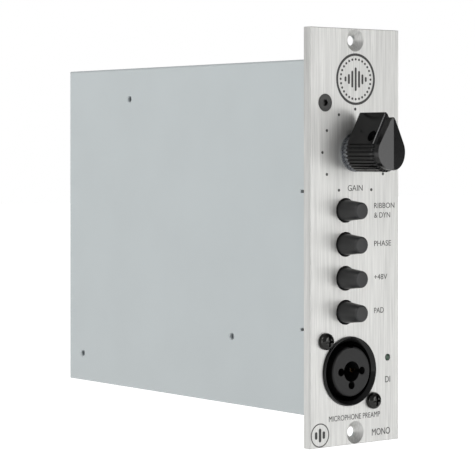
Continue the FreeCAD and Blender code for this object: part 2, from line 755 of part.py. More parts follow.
def gain_switch_terminals():
    reach = GAIN_BOARD_FRONT + PCB_THICK + LEAD_PROUD - SWITCH_REAR
    return group([rod(base, BACK, TERMINAL_R, reach) for base in terminal_bases(SWITCH_REAR)])


def gain_board():
    """A small board behind the switch, parallel to the panel, that meets the main board edge on."""
    board = box((PCB_FACE, GAIN_X + GAIN_BOARD_SIZE / 2), (GAIN_BOARD_FRONT, GAIN_BOARD_FRONT + PCB_THICK),
                centred(GAIN_Z, GAIN_BOARD_SIZE / 2))
    holes = [rod(base, BACK, TERMINAL_R + FIT, PCB_THICK) for base in terminal_bases(GAIN_BOARD_FRONT)]
    return cut(board, holes)


def teardrop(radius, apex, tip_r, y):
    """A face in the XZ plane round the gain axis: a circle and two flanks meeting in a rounded tip."""
    reach = apex - tip_r
    lean = math.asin((radius - tip_r) / reach)
    side_x = math.cos(lean)
    side_z = math.sin(lean)
    low_x = radius * side_x
    low_z = GAIN_Z + radius * side_z
    high_x = tip_r * side_x
    high_z = GAIN_Z + reach + tip_r * side_z
    right_low = vec(GAIN_X + low_x, y, low_z)
    left_low = vec(GAIN_X - low_x, y, low_z)
    right_high = vec(GAIN_X + high_x, y, high_z)
    left_high = vec(GAIN_X - high_x, y, high_z)
    top = vec(GAIN_X, y, GAIN_Z + apex)
    bottom = vec(GAIN_X, y, GAIN_Z - radius)
    edges = [
        Part.LineSegment(right_low, right_high).toShape(),
        Part.Arc(right_high, top, left_high).toShape(),
        Part.LineSegment(left_high, left_low).toShape(),
        Part.Arc(left_low, bottom, right_low).toShape(),
    ]
    return Part.Face(Part.Wire(edges))


def grub_axis():
    angle = math.radians(GRUB_ANGLE_DEG)
    return vec(math.cos(angle), 0, math.sin(angle))


def gain_knob():
    """A pointer knob: fluted where it is round, with a smaller raised cap ridged down its middle."""
    shoulder_y = PANEL_FACE - KNOB_SHOULDER
    body = teardrop(KNOB_R, KNOB_APEX, KNOB_TIP_R, shoulder_y).extrude(BACK * (KNOB_SHOULDER - KNOB_GAP))
    body = body.makeFillet(KNOB_SHOULDER_R, edges_where(body, lambda p: near(p.y, shoulder_y)))
    flutes = []
    for k in range(-KNOB_FLUTES_EACH_SIDE, KNOB_FLUTES_EACH_SIDE + 1):
        angle = 2 * math.pi * k / KNOB_FLUTES_ROUND
        out = KNOB_R + KNOB_FLUTE_R - KNOB_FLUTE_DEPTH
        base = vec(GAIN_X + out * math.sin(angle), shoulder_y - PAST, GAIN_Z - out * math.cos(angle))
        flutes.append(rod(base, BACK, KNOB_FLUTE_R, KNOB_SHOULDER))
    body = cut(body, flutes)
    ridge_y = PANEL_FACE - KNOB_RIDGE
    cap_depth = KNOB_RIDGE - KNOB_SHOULDER + PAST
    cap = teardrop(KNOB_CAP_R, KNOB_CAP_APEX, KNOB_CAP_TIP_R, ridge_y).extrude(BACK * cap_depth)
    cap = cap.makeFillet(KNOB_CAP_ROUND_R, edges_where(cap, lambda p: near(p.y, ridge_y)))
    reach = KNOB_CAP_APEX + PAST
    fall = reach * math.tan(math.radians(KNOB_FACET_DEG))
    for side in (-1, 1):
        wedge = [
            vec(GAIN_X, ridge_y, 0),
            vec(GAIN_X + side * reach, ridge_y + fall, 0),
            vec(GAIN_X + side * reach, ridge_y - PAST, 0),
            vec(GAIN_X, ridge_y - PAST, 0),
        ]
        cap = cap.cut(Part.Face(Part.makePolygon(wedge + wedge[:1])).extrude(UP * (GAIN_Z + KNOB_APEX)))
    knob = fuse([body, cap])
    bore = rod(gain_point(KNOB_INSERT_FRONT), BACK, KNOB_INSERT_R, KNOB_INSERT_FRONT - KNOB_INSERT_BACK)
    recess = rod(gain_point(KNOB_INSERT_BACK), BACK, KNOB_RECESS_R, KNOB_INSERT_BACK - KNOB_GAP)
    grub_hole = rod(gain_point(GRUB_FORWARD), grub_axis(), GRUB_HOLE_R, KNOB_APEX)
    return solid(cut(knob, [bore, recess, grub_hole]))


def gain_knob_insert():
    """The brass sleeve moulded into the knob."""
    sleeve = rod(gain_point(KNOB_INSERT_FRONT), BACK, KNOB_INSERT_R, KNOB_INSERT_FRONT - KNOB_INSERT_BACK)
    shaft = rod(vec(GAIN_X, SHAFT_FRONT, GAIN_Z), BACK, SHAFT_R, SHAFT_REAR - SHAFT_FRONT)
    grub = rod(gain_point(GRUB_FORWARD), grub_axis(), GRUB_R, KNOB_INSERT_R + PAST)
    return solid(cut(sleeve, [shaft, grub]))


def gain_knob_grub_screw():
    start = gain_point(GRUB_FORWARD) + grub_axis() * SHAFT_R
    screw = rod(start, grub_axis(), GRUB_R, GRUB_OUTER - SHAFT_R)
    screw = screw.cut(rod(gain_point(SHAFT_R + KNOB_INSERT_FRONT), BACK, SHAFT_R, KNOB_INSERT_FRONT * 2))
    mouth = gain_point(GRUB_FORWARD) + grub_axis() * (GRUB_OUTER - GRUB_SOCKET_DEEP)
    return screw.cut(hex_rod(mouth, grub_axis(), GRUB_SOCKET, GRUB_SOCKET_DEEP))


# ================================================================ push buttons

def button_cap(z):
    """A tapered round cap with a soft front edge and a square blind hole for its plunger."""
    centre = vec(BUTTON_X, CAP_REAR, z)
    skirt = rod(centre, FRONT, CAP_ROOT_R, CAP_REAR - PANEL_FACE)
    taper = cone(vec(BUTTON_X, PANEL_FACE, z), FRONT, CAP_ROOT_R, CAP_FRONT_R, CAP_LENGTH)
    cap = fuse([skirt, taper])
    cap = cap.makeFillet(CAP_ROUND_R, edges_where(cap, lambda p: near(p.y, CAP_FRONT)))
    half = PLUNGER_SIDE / 2
    return cap.cut(box(centred(BUTTON_X, half), (PLUNGER_FRONT, CAP_REAR + PAST), centred(z, half)))


def button_plunger(z):
    half = PLUNGER_SIDE / 2
    return box(centred(BUTTON_X, half), (PLUNGER_FRONT, PLUNGER_REAR), centred(z, half))


def push_switch_housings():
    housings = []
    half = PLUNGER_SIDE / 2 + PLUNGER_CLEARANCE
    end = PLUNGER_REAR + BUTTON_TRAVEL + PAST
    for index in range(len(BUTTONS)):
        z = button_z(index)
        body = box((PCB_FACE, PUSH_BODY_TOP), (PUSH_BODY_FRONT, PUSH_BODY_REAR),
                   centred(z, PUSH_BODY_HEIGHT / 2))
        collar = rod(vec(BUTTON_X, PUSH_COLLAR_FRONT, z), BACK, PUSH_COLLAR_R,
                     PUSH_BODY_FRONT - PUSH_COLLAR_FRONT)
        room = box(centred(BUTTON_X, half), (PUSH_COLLAR_FRONT - PAST, end), centred(z, half))
        housings.append(fuse([body, collar]).cut(room))
    return group(housings)


# ================================================================ input socket

def jack_point(y):
    return vec(JACK_X, y, JACK_Z)


def on_jack(angle_deg, radius, y):
    angle = math.radians(angle_deg)
    return vec(JACK_X + radius * math.cos(angle), y, JACK_Z + radius * math.sin(angle))


def jack_housing():
    """Moulded shell: a round nose through the panel, a flange behind the tab and a rear chamber."""
    flange = box(JACK_FLANGE_X, (SHEET, SHEET + JACK_FLANGE_THICK), JACK_FLANGE_Z)
    corners = edges_where(flange, lambda p: p.z > JACK_Z and p.x < JACK_X)
    corners += edges_where(flange, lambda p: p.z < JACK_Z and p.x > JACK_X)
    flange = flange.makeFillet(JACK_FLANGE_CORNER, corners)
    nose = rod(jack_point(JACK_NOSE_END), BACK, JACK_NOSE_R, SHEET - JACK_NOSE_END)
    nose = nose.makeFillet(JACK_NOSE_ROUND_R, edges_where(nose, lambda p: near(p.y, JACK_NOSE_END)))
    barrel = rod(jack_point(SHEET), BACK, JACK_BARREL_R, JACK_BARREL_END - SHEET)
    rear = box(centred(JACK_X, JACK_REAR_HALF), (JACK_BARREL_END, JACK_REAR),
               centred(JACK_Z, JACK_REAR_HALF))
    shell = fuse([flange, nose, barrel, rear])
    tools = [
        rod(jack_point(JACK_NOSE_END), BACK, JACK_CAVITY_R, JACK_CAVITY_END - JACK_NOSE_END),
        cone(jack_point(JACK_NOSE_END), BACK, JACK_CAVITY_R + JACK_FUNNEL, JACK_CAVITY_R, JACK_FUNNEL),
        rod(jack_point(JACK_CAVITY_END), BACK, PLUG_HOLE_R, PLUG_HOLE_END - JACK_CAVITY_END),
        box(centred(JACK_X, LEAF_ROOM_WIDTH / 2), (LEAF_FRONT, LEAF_REAR), centred(JACK_Z, LEAF_ROOM)),
    ]
    for angle in PIN_ANGLES:
        base = on_jack(angle, PIN_SOCKET_CIRCLE, JACK_CAVITY_END)
        tools.append(rod(base, BACK, PIN_SOCKET_R, PIN_SOCKET_REAR - JACK_CAVITY_END))
    for x, z in jack_screw_spots():
        tools.append(rod(vec(x, SHEET, z), BACK, PAN_SHANK_R, JACK_FLANGE_THICK))
    return solid(cut(shell, tools))


def jack_insert():
    """The core that carries the contacts: a round plug hole with three pin holes that open into it."""
    core = rod(jack_point(INSERT_FACE), BACK, INSERT_R, JACK_CAVITY_END - INSERT_FACE)
    core = core.makeFillet(INSERT_EDGE, edges_where(core, lambda p: near(p.y, INSERT_FACE)))
    tools = [rod(jack_point(INSERT_FACE), BACK, PLUG_HOLE_R, JACK_CAVITY_END - INSERT_FACE)]
    for angle in PIN_ANGLES:
        tools.append(rod(on_jack(angle, PIN_LOBE_CIRCLE, INSERT_FACE), BACK, PIN_LOBE_R,
                         PIN_SOCKET_FRONT - INSERT_FACE))
        tools.append(rod(on_jack(angle, PIN_SOCKET_CIRCLE, PIN_SOCKET_FRONT), BACK, PIN_SOCKET_R,
                         JACK_CAVITY_END - PIN_SOCKET_FRONT))
    tools.append(box(centred(JACK_X, KEY_WIDTH / 2), (INSERT_FACE, KEY_END),
                     (JACK_Z + INSERT_R - KEY_DEPTH, JACK_Z + INSERT_R + PAST)))
    return solid(cut(core, tools))


def pin_contacts():
    """Three turned sockets for a microphone plug's pins."""
    contacts = []
    for angle in PIN_ANGLES:
        base = on_jack(angle, PIN_SOCKET_CIRCLE, PIN_SOCKET_FRONT)
        contact = rod(base, BACK, PIN_SOCKET_R, PIN_SOCKET_REAR - PIN_SOCKET_FRONT)
        contacts.append(contact.cut(rod(base, BACK, PIN_SOCKET_BORE, PIN_SOCKET_DEEP)))
    return group(contacts)


def plug_contacts():
    """Two leaf springs above and below the plug hole, in the rear chamber."""
    leaves = []
    for side in (-1, 1):
        near_z = side * (PLUG_HOLE_R + LEAF_GAP)
        far_z = side * (PLUG_HOLE_R + LEAF_GAP + LEAF_THICK)
        leaves.append(box(centred(JACK_X, LEAF_WIDTH / 2), (LEAF_FRONT, LEAF_REAR),
                          sorted((JACK_Z + near_z, JACK_Z + far_z))))
    return group(leaves)


def jack_terminals():
    """Pins from the rear of the socket to its board."""
    reach = JACK_BOARD_FRONT + PCB_THICK + LEAD_PROUD - JACK_REAR
    return group([rod(vec(x, JACK_REAR, z), BACK, TERMINAL_R, reach) for x, z in JACK_PIN_SPOTS])


def jack_screws():
    screws = []
    for x, z in jack_screw_spots():
        screws.append(pan_screw(vec(x, PANEL_FACE, z), BACK, PAN_HEAD_R, PAN_HEAD, PAN_SHANK_R,
                                SHEET - PANEL_FACE + JACK_FLANGE_THICK))
    return group(screws)


def led_lead_spots():
    return [(LED_X, LED_Z - LED_LEAD_SPREAD), (LED_X, LED_Z + LED_LEAD_SPREAD)]


def jack_board():
    board = box(JACK_BOARD_X, (JACK_BOARD_FRONT, JACK_BOARD_FRONT + PCB_THICK), JACK_BOARD_Z)
    holes = []
    for x, z in JACK_PIN_SPOTS:
        holes.append(rod(vec(x, JACK_BOARD_FRONT, z), BACK, TERMINAL_R + FIT, PCB_THICK))
    for x, z in led_lead_spots():
        holes.append(rod(vec(x, JACK_BOARD_FRONT, z), BACK, LED_LEAD_R + FIT, PCB_THICK))
    return cut(board, holes)


def jack_header():
    return box(centred(RIBBON_X, PCB_HEADER_HALF), JACK_HEADER_Y, centred(JACK_Z, HEADER_HALF_LENGTH))


def pcb_header():
    return box((PCB_FACE, PCB_FACE + PCB_HEADER_DEPTH), centred(PCB_HEADER_Y, PCB_HEADER_HALF),
               centred(JACK_Z, HEADER_HALF_LENGTH))


def ribbon_cable():
    """A flat cable from the socket's board to the main board, with one round bend."""
    start = vec(RIBBON_X, JACK_HEADER_Y[1], 0)
    end = vec(PCB_FACE + PCB_HEADER_DEPTH, PCB_HEADER_Y, 0)
    inner = RIBBON_BEND - RIBBON_THICK / 2
    outer = RIBBON_BEND + RIBBON_THICK / 2
    turn = vec(RIBBON_X - RIBBON_BEND, PCB_HEADER_Y - RIBBON_BEND, 0)
    half = RIBBON_THICK / 2
    slant = math.sqrt(0.5)

    def at(radius, across_x, along_y):
        return vec(turn.x + radius * across_x, turn.y + radius * along_y, 0)

    edges = [
        Part.LineSegment(vec(start.x + half, start.y, 0), at(outer, 1, 0)).toShape(),
        Part.Arc(at(outer, 1, 0), at(outer, slant, slant), at(outer, 0, 1)).toShape(),
        Part.LineSegment(at(outer, 0, 1), vec(end.x, end.y + half, 0)).toShape(),
        Part.LineSegment(vec(end.x, end.y + half, 0), vec(end.x, end.y - half, 0)).toShape(),
        Part.LineSegment(vec(end.x, end.y - half, 0), at(inner, 0, 1)).toShape(),
        Part.Arc(at(inner, 0, 1), at(inner, slant, slant), at(inner, 1, 0)).toShape(),
        Part.LineSegment(at(inner, 1, 0), vec(start.x - half, start.y, 0)).toShape(),
        Part.LineSegment(vec(start.x - half, start.y, 0), vec(start.x + half, start.y, 0)).toShape(),
    ]
    strip = Part.Face(Part.Wire(edges)).extrude(UP * (2 * RIBBON_HALF))
    strip.translate(UP * (JACK_Z - RIBBON_HALF))
    return strip


# ================================================================ indicator lamp

def di_led():
    lens = rod(vec(LED_X, LED_TIP, LED_Z), BACK, LED_R, SHEET - LED_TIP)
    lens = lens.makeFillet(LED_ROUND_R, edges_where(lens, lambda p: near(p.y, LED_TIP)))
    flange = rod(vec(LED_X, SHEET, LED_Z), BACK, LED_FLANGE_R, LED_REAR - SHEET)
    return fuse([lens, flange])


def di_led_leads():
    reach = JACK_BOARD_FRONT + PCB_THICK + LEAD_PROUD - LED_REAR
    return group([rod(vec(x, LED_REAR, z), BACK, LED_LEAD_R, reach) for x, z in led_lead_spots()])


# ================================================================ parts on the main board

def input_transformer_can():
    base = vec(PCB_FACE + INPUT_BASE, INPUT_CAN_Y, INPUT_CAN_Z)
    can = rod(base, RIGHT, INPUT_CAN_R, INPUT_CAN_TOP - base.x)
    can = can.makeFillet(INPUT_CAN_EDGE, edges_where(can, lambda p: near(p.x, INPUT_CAN_TOP)))
    return can.cut(rod(base, RIGHT, INPUT_CAN_R - INPUT_CAN_WALL, INPUT_CAN_TOP - base.x - INPUT_CAN_WALL))


def input_transformer_coil():
    """The potted coil inside the screening can."""
    base = vec(PCB_FACE + INPUT_BASE, INPUT_CAN_Y, INPUT_CAN_Z)
    inset = INPUT_CAN_WALL + FIT
    return rod(base, RIGHT, INPUT_CAN_R - inset, INPUT_CAN_TOP - base.x - inset)


def input_transformer_base():
    return rod(vec(PCB_FACE, INPUT_CAN_Y, INPUT_CAN_Z), RIGHT, INPUT_CAN_R + INPUT_BASE_LIP, INPUT_BASE)


def output_transformer_core():
    """A laminated block with two windows beside its middle leg."""
    body = box((CORE_LOW, CORE_TOP), centred(CORE_Y, CORE_STACK / 2), centred(CORE_Z, CORE_WIDTH / 2))
    windows = []
    for side in (-1, 1):
        zs = sorted((CORE_Z + side * CORE_LEG / 2, CORE_Z + side * (CORE_LEG / 2 + CORE_WINDOW)))
        windows.append(box((WINDOW_LOW, WINDOW_LOW + CORE_WINDOW_HEIGHT),
                           centred(CORE_Y, CORE_STACK / 2 + PAST), zs))
    return solid(cut(body, windows))


def bobbin_ring(x_range, inner_gap, outer_gap):
    """A rectangular ring round the core's middle leg, between two distances from it."""
    outer, inner = [
        box(x_range, centred(CORE_Y, CORE_STACK / 2 + gap), centred(CORE_Z, CORE_LEG / 2 + gap))
        for gap in (outer_gap, inner_gap)
    ]
    return outer.cut(inner)


def output_transformer_bobbin():
    sleeve = bobbin_ring((BOBBIN_LOW, BOBBIN_TOP), FIT, FIT + BOBBIN_WALL)
    bottom = bobbin_ring((BOBBIN_LOW, BOBBIN_LOW + BOBBIN_WALL), FIT, BOBBIN_REACH)
    top = bobbin_ring((BOBBIN_TOP - BOBBIN_WALL, BOBBIN_TOP), FIT, BOBBIN_REACH)
    return fuse([sleeve, bottom, top])


def output_transformer_winding():
    inner = FIT + BOBBIN_WALL
    return bobbin_ring((BOBBIN_LOW + BOBBIN_WALL, BOBBIN_TOP - BOBBIN_WALL), inner, inner + WINDING_DEEP)


def output_transformer_clamp():
    """A strap over the core with a foot on each side."""
    half = CORE_WIDTH / 2
    along = centred(CORE_Y, CLAMP_HALF_WIDTH)
    strap = box((PCB_FACE, CORE_TOP + CLAMP_THICK), along, centred(CORE_Z, half + CLAMP_THICK))
    feet = box((PCB_FACE, PCB_FACE + CLAMP_THICK), along, centred(CORE_Z, half + CLAMP_FOOT))
    hollow = box((PCB_FACE - PAST, CORE_TOP), centred(CORE_Y, CLAMP_HALF_WIDTH + PAST),
                 centred(CORE_Z, half))
    return fuse([strap, feet]).cut(hollow).removeSplitter()


def amplifier_block():
    """The potted discrete amplifier, a square block that plugs into the board."""
    block = box((AMP_BOTTOM, AMP_TOP), centred(AMP_Y, AMP_SIDE / 2), centred(AMP_Z, AMP_SIDE / 2))
    return block.makeFillet(AMP_EDGE, edges_where(block, lambda p: near(p.x, AMP_TOP)))


def amplifier_block_sockets():
    """Turned pins under the block that rest on the board."""
    sockets = []
    for side_y in (-1, 1):
        for side_z in (-1, 0, 1):
            base = vec(PCB_FACE, AMP_Y + side_y * AMP_PIN_REACH, AMP_Z + side_z * AMP_PIN_REACH)
            sockets.append(rod(base, RIGHT, AMP_PIN_R, AMP_BOTTOM - PCB_FACE))
    return group(sockets)


def resistors():
    bodies = []
    for y, z in resistor_spots():
        base = vec(PCB_FACE + RESISTOR_LIFT, y - RESISTOR_LENGTH / 2, z)
        body = rod(base, BACK, RESISTOR_R, RESISTOR_LENGTH)
        bodies.append(body.makeFillet(RESISTOR_EDGE, edges_where(body, lambda p: True)))
    return group(bodies)


def resistor_leads():
    leads = []
    for y, z in resistor_spots():
        for side in (-1, 1):
            bend_y = y + side * RESISTOR_SPAN / 2
            foot = vec(PCB_BACK - PIN_PROUD, bend_y, z)
            upright = rod(foot, RIGHT, RESISTOR_LEAD_R, PCB_FACE + RESISTOR_LIFT - foot.x)
            inner_y = y + side * RESISTOR_LENGTH / 2
            start = vec(PCB_FACE + RESISTOR_LIFT, min(inner_y, bend_y), z)
            level = rod(start, BACK, RESISTOR_LEAD_R, abs(bend_y - inner_y))
            elbow = Part.makeSphere(RESISTOR_LEAD_R, vec(PCB_FACE + RESISTOR_LIFT, bend_y, z))
            leads.append(upright.fuse([level, elbow]))
    return group(leads)


def electrolytic_capacitors():
    cans = []
    for y, z in CAN_CAPS:
        can = rod(vec(PCB_FACE, y, z), RIGHT, CAN_CAP_R, CAN_CAP_HEIGHT)
        cans.append(can.makeFillet(CAN_CAP_EDGE, edges_where(can, lambda p: p.x > PCB_FACE + PAST)))
    return group(cans)


def standing_blocks(spots, size, edge):
    """Moulded blocks on the board: size is along Y, along Z and above the board."""
    blocks = []
    for y, z in spots:
        block = box((PCB_FACE, PCB_FACE + size[2]), centred(y, size[0] / 2), centred(z, size[1] / 2))
        blocks.append(block.makeFillet(edge, edges_where(block, lambda p: p.x > PCB_FACE + PAST)))
    return group(blocks)


def film_capacitors():
    thick_first = (FILM_CAP_SIZE[1], FILM_CAP_SIZE[0], FILM_CAP_SIZE[2])
    return standing_blocks(FILM_CAPS, thick_first, FILM_CAP_EDGE)


def relays():
    return standing_blocks(RELAYS, RELAY_SIZE, RELAY_EDGE)


def voltage_regulators():
    """Two upright regulators, each a moulded body with a metal tab that has a hole."""
    bodies = []
    for y, z in REGULATORS:
        along = centred(y, REGULATOR_HALF_WIDTH)
        back_z = z + REGULATOR_HALF_THICK
        body = box((PCB_FACE, PCB_FACE + REGULATOR_HEIGHT), along, centred(z, REGULATOR_HALF_THICK))
        tab = box((PCB_FACE + REGULATOR_HEIGHT, PCB_FACE + REGULATOR_TOP), along,
                  (back_z - REGULATOR_TAB_THICK, back_z))
        hole = rod(vec(PCB_FACE + REGULATOR_HOLE_AT, y, z), UP, REGULATOR_HOLE_R,
                   REGULATOR_HALF_THICK + PAST)
        bodies.append(fuse([body, tab]).cut(hole))
    return group(bodies)


def trimmer():
    body = box((PCB_FACE, PCB_FACE + TRIMMER_SIZE[2]), centred(TRIMMER_Y, TRIMMER_SIZE[0] / 2),
               centred(TRIMMER_Z, TRIMMER_SIZE[1] / 2))
    top = PCB_FACE + TRIMMER_SIZE[2]
    head = rod(vec(top, TRIMMER_SCREW_Y, TRIMMER_Z), RIGHT, TRIMMER_SCREW_R, TRIMMER_SCREW_HEIGHT)
    slot = box(centred(top + TRIMMER_SCREW_HEIGHT, TRIMMER_SLOT),
               centred(TRIMMER_SCREW_Y, TRIMMER_SCREW_R + PAST), centred(TRIMMER_Z, TRIMMER_SLOT / 2))
    return fuse([body, head]).cut(slot)


# ================================================================ files

NODES = {
    "front_panel": front_panel,
    "panel_screw": panel_screw,
    "panel_nut": panel_nut,
    "chassis_tray": chassis_tray,
    "side_cover": side_cover,
    "cover_screws": cover_screws,
    "cover_nuts": cover_nuts,
    "main_pcb": main_pcb,
    "edge_contacts": edge_contacts,
    "pcb_standoffs": pcb_standoffs,
    "pcb_screws": pcb_screws,
    "component_pins": component_pins,
    "gain_bushing": gain_bushing,
    "gain_washer": gain_washer,
    "gain_nut": gain_nut,
    "gain_switch_housing": gain_switch_housing,
    "gain_switch_terminals": gain_switch_terminals,
    "gain_board": gain_board,
    "gain_shaft": gain_shaft,
    "gain_rotor": gain_rotor,
    "gain_knob": gain_knob,
    "gain_knob_insert": gain_knob_insert,
    "gain_knob_grub_screw": gain_knob_grub_screw,
    "push_switch_housings": push_switch_housings,
    "jack_housing": jack_housing,
    "jack_insert": jack_insert,
    "pin_contacts": pin_contacts,
    "plug_contacts": plug_contacts,
    "jack_terminals": jack_terminals,
    "jack_screws": jack_screws,
    "jack_board": jack_board,
    "jack_header": jack_header,
    "pcb_header": pcb_header,
    "ribbon_cable": ribbon_cable,
    "di_led": di_led,
    "di_led_leads": di_led_leads,
    "input_transformer_can": input_transformer_can,
    "input_transformer_coil": input_transformer_coil,
    "input_transformer_base": input_transformer_base,
    "output_transformer_core": output_transformer_core,
    "output_transformer_bobbin": output_transformer_bobbin,
    "output_transformer_winding": output_transformer_winding,
    "output_transformer_clamp": output_transformer_clamp,
    "amplifier_block": amplifier_block,
    "amplifier_block_sockets": amplifier_block_sockets,
    "resistors": resistors,
    "resistor_leads": resistor_leads,
    "electrolytic_capacitors": electrolytic_capacitors,
    "film_capacitors": film_capacitors,
    "relays": relays,
    "voltage_regulators": voltage_regulators,
    "trimmer": trimmer,
}

os.makedirs("parts", exist_ok=True)
for node, make in NODES.items():
    make().exportStep("parts/" + node + ".step")
for number, name in enumerate(BUTTONS):
    button_cap(button_z(number)).exportStep("parts/" + name + "_button_cap.step")
    button_plunger(button_z(number)).exportStep("parts/" + name + "_button_plunger.step")
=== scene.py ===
import json
import math

import bmesh
import bpy
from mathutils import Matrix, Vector


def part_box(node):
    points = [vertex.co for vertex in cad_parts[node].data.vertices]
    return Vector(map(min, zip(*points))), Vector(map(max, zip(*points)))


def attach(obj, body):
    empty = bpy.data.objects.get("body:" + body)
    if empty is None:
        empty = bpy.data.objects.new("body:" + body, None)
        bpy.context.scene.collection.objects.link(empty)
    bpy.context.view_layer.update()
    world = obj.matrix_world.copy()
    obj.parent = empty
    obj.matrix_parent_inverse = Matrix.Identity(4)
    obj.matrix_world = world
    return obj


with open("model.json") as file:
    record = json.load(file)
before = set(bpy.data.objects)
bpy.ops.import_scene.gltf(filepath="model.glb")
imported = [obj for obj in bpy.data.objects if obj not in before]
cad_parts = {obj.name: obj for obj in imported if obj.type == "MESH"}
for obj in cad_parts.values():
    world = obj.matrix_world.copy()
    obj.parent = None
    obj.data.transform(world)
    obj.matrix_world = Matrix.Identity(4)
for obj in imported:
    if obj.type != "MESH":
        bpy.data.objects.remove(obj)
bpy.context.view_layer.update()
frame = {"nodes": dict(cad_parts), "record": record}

MM = 0.001
ROOT = "module"

# Most of a noise texture lies between these values
NOISE_LOW = 0.3
NOISE_HIGH = 0.7
RANGE_SOCKETS = ("From Min", "From Max", "To Min", "To Max")
# A wave texture of scale 1 repeats after this many metres
WAVE_PERIOD = 0.31

# Places taken from the frame
PANEL_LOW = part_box("front_panel")[0]
PANEL_FACE = PANEL_LOW[1]
GAIN_LOW, GAIN_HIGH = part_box("gain_washer")
GAIN_Z = (GAIN_LOW[2] + GAIN_HIGH[2]) / 2
LED_LOW, LED_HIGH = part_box("di_led")
LED_X = (LED_LOW[0] + LED_HIGH[0]) / 2

# Printed legend
INK = 0.03 * MM
DOT_RADIUS = 0.48 * MM
DOT_CIRCLE = 13.9 * MM
DOT_CENTRE_Z = GAIN_Z - 0.1 * MM
GAIN_STEPS = 11
GAIN_STEP_DEG = 30
GAIN_FIRST_DEG = -150
LABEL_LEFT = 8.2 * MM
LABEL_HEIGHT = 1.75 * MM

# Floor
FLOOR_DROP = 0.12
FLOOR_SIDE = 6.0


# ================================================================ materials

class Look:
    """A node material round one Principled shader, patterned in the part's own coordinates."""

    def __init__(self, name, colour, roughness, **sockets):
        self.material = bpy.data.materials.new(name)
        self.material.use_nodes = True
        self.tree = self.material.node_tree
        self.shader = self.tree.nodes["Principled BSDF"]
        self.shader.inputs["Base Color"].default_value = (*colour, 1.0)
        self.shader.inputs["Roughness"].default_value = roughness
        for socket, value in sockets.items():
            self.shader.inputs[socket.replace("_", " ")].default_value = value
        self.place = self.tree.nodes.new("ShaderNodeTexCoord").outputs["Object"]

    def link(self, source, target):
        self.tree.links.new(source, target)

    def stretched(self, stretch):
        mapping = self.tree.nodes.new("ShaderNodeMapping")
        mapping.inputs["Scale"].default_value = stretch
        self.link(self.place, mapping.inputs["Vector"])
        return mapping.outputs["Vector"]

    def noise(self, size, stretch=(1, 1, 1), detail=3.0, rough=0.5):
        """Noise whose blobs are about size metres across, longer along an axis stretched by less than 1."""
        texture = self.tree.nodes.new("ShaderNodeTexNoise")
        texture.inputs["Scale"].default_value = 1.0 / size
        texture.inputs["Detail"].default_value = detail
        texture.inputs["Roughness"].default_value = rough
        self.link(self.stretched(stretch), texture.inputs["Vector"])
        return texture.outputs["Fac"]

    def range(self, value, low, high, to_low, to_high):
        node = self.tree.nodes.new("ShaderNodeMapRange")
        self.link(value, node.inputs["Value"])
        for socket, number in zip(RANGE_SOCKETS, (low, high, to_low, to_high)):
            node.inputs[socket].default_value = number
        return node.outputs["Result"]

    def spread(self, noise, to_low, to_high):
        """Noise spread from its usual values over another range."""
        return self.range(noise, NOISE_LOW, NOISE_HIGH, to_low, to_high)

    def maths(self, operation, first, second):
        node = self.tree.nodes.new("ShaderNodeMath")
        node.operation = operation
        for socket, value in zip(node.inputs, (first, second)):
            if isinstance(value, (int, float)):
                socket.default_value = value
            else:
                self.link(value, socket)
        return node.outputs["Value"]

    def blend(self, factor, first, second):
        """A colour between two others, each given as numbers or as another node's output."""
        node = self.tree.nodes.new("ShaderNodeMix")
        node.data_type = "RGBA"
        self.link(factor, node.inputs["Factor"])
        for socket, value in ((node.inputs[6], first), (node.inputs[7], second)):
            if isinstance(value, tuple):
                socket.default_value = (*value, 1.0)
            else:
                self.link(value, socket)
        return node.outputs[2]

    def colour(self, value):
        self.link(value, self.shader.inputs["Base Color"])

    def roughness(self, value):
        self.link(value, self.shader.inputs["Roughness"])

    def bump(self, height, depth, strength):
        """Relief from a 0 to 1 height, depth metres deep."""
        node = self.tree.nodes.new("ShaderNodeBump")
        node.inputs["Strength"].default_value = strength
        node.inputs["Distance"].default_value = depth
        self.link(height, node.inputs["Height"])
        self.link(node.outputs["Normal"], self.shader.inputs["Normal"])


def scaled(colour, factor):
    return tuple(min(1.0, channel * factor) for channel in colour)


def brushed_panel():
    """Clear-anodised aluminium, brushed along Z."""
    base = (0.68, 0.679, 0.661)
    look = Look("brushed_panel", base, 0.42, Metallic=0.8)
    fine = look.noise(0.42 * MM, (1, 1, 0.022), detail=4.0, rough=0.65)
    broad = look.noise(1.6 * MM, (1, 1, 0.02), detail=2.0)
    streaks = look.maths("ADD", look.maths("MULTIPLY", fine, 0.8), look.maths("MULTIPLY", broad, 0.2))
    tone = look.spread(streaks, 0.0, 1.0)
    look.colour(look.blend(tone, scaled(base, 0.8), scaled(base, 1.17)))
    look.roughness(look.spread(streaks, 0.36, 0.5))
    look.bump(streaks, 0.012 * MM, 0.5)
    return look.material


def painted_case():
    """Thin satin paint on sheet metal, with a faint texture."""
    base = (0.535, 0.578, 0.587)
    look = Look("case_paint", base, 0.5)
    cloud = look.noise(22 * MM, detail=2.0)
    grain = look.noise(0.35 * MM, detail=2.0)
    tone = look.spread(cloud, 0.0, 1.0)
    look.colour(look.blend(tone, scaled(base, 0.985), scaled(base, 1.015)))
    look.roughness(look.spread(grain, 0.45, 0.56))
    look.bump(grain, 0.006 * MM, 0.35)
    return look.material


def plain_metal(name, base, roughness, grain_size=0.25 * MM, stretch=(1, 1, 1)):
    """Bare or plated metal with fine tool marks."""
    look = Look(name, base, roughness, Metallic=1.0)
    grain = look.noise(grain_size, stretch, detail=3.0)
    tone = look.spread(grain, 0.0, 1.0)
    look.colour(look.blend(tone, scaled(base, 0.9), scaled(base, 1.05)))
    look.roughness(look.spread(grain, roughness * 0.8, roughness * 1.25))
    look.bump(grain, 0.01 * MM, 0.3)
    return look.material


